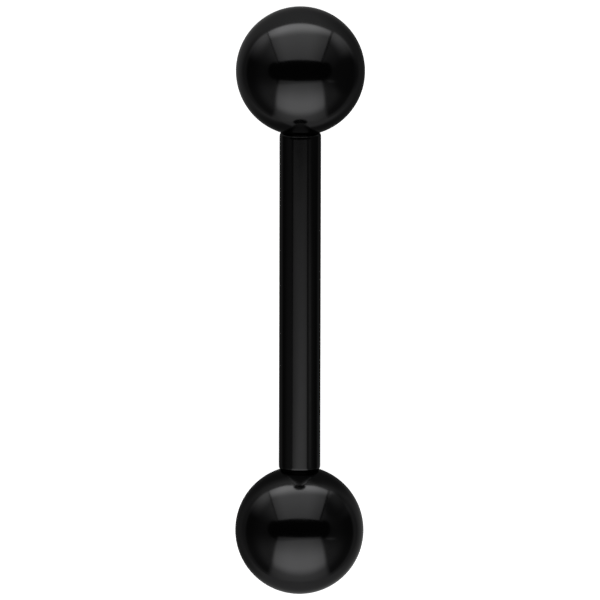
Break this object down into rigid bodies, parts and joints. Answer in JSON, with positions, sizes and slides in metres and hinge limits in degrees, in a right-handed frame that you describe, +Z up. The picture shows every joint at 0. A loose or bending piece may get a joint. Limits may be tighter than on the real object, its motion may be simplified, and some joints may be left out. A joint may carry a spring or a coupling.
{
  "type": "micro barbell",
  "caption": "Straight body-jewellery barbell in polished black metal: a smooth round bar with a ball that unscrews at each end.",
  "frame": {"origin": "on the surface that the barbell lies on, straight below the middle of the bar", "axes": "+X along the bar towards ball_1, +Z up, both balls touching z = 0"},
  "size_m": [0.0184, 0.004, 0.004],
  "materials": {
    "black_pvd_steel": "mirror-polished surgical steel with a black PVD coating"
  },
  "bodies": {
    "bar": {"bar": "black_pvd_steel"},
    "ball_1": {"ball_1": "black_pvd_steel"},
    "ball_2": {"ball_2": "black_pvd_steel"}
  },
  "joints": [
    {"name": "ball_1_unscrew", "type": "slide", "parent": "bar", "child": "ball_1", "axis": [1, 0, 0], "range_m": [0, 0.012]},
    {"name": "ball_2_unscrew", "type": "slide", "parent": "bar", "child": "ball_2", "axis": [-1, 0, 0], "range_m": [0, 0.012]}
  ]
}
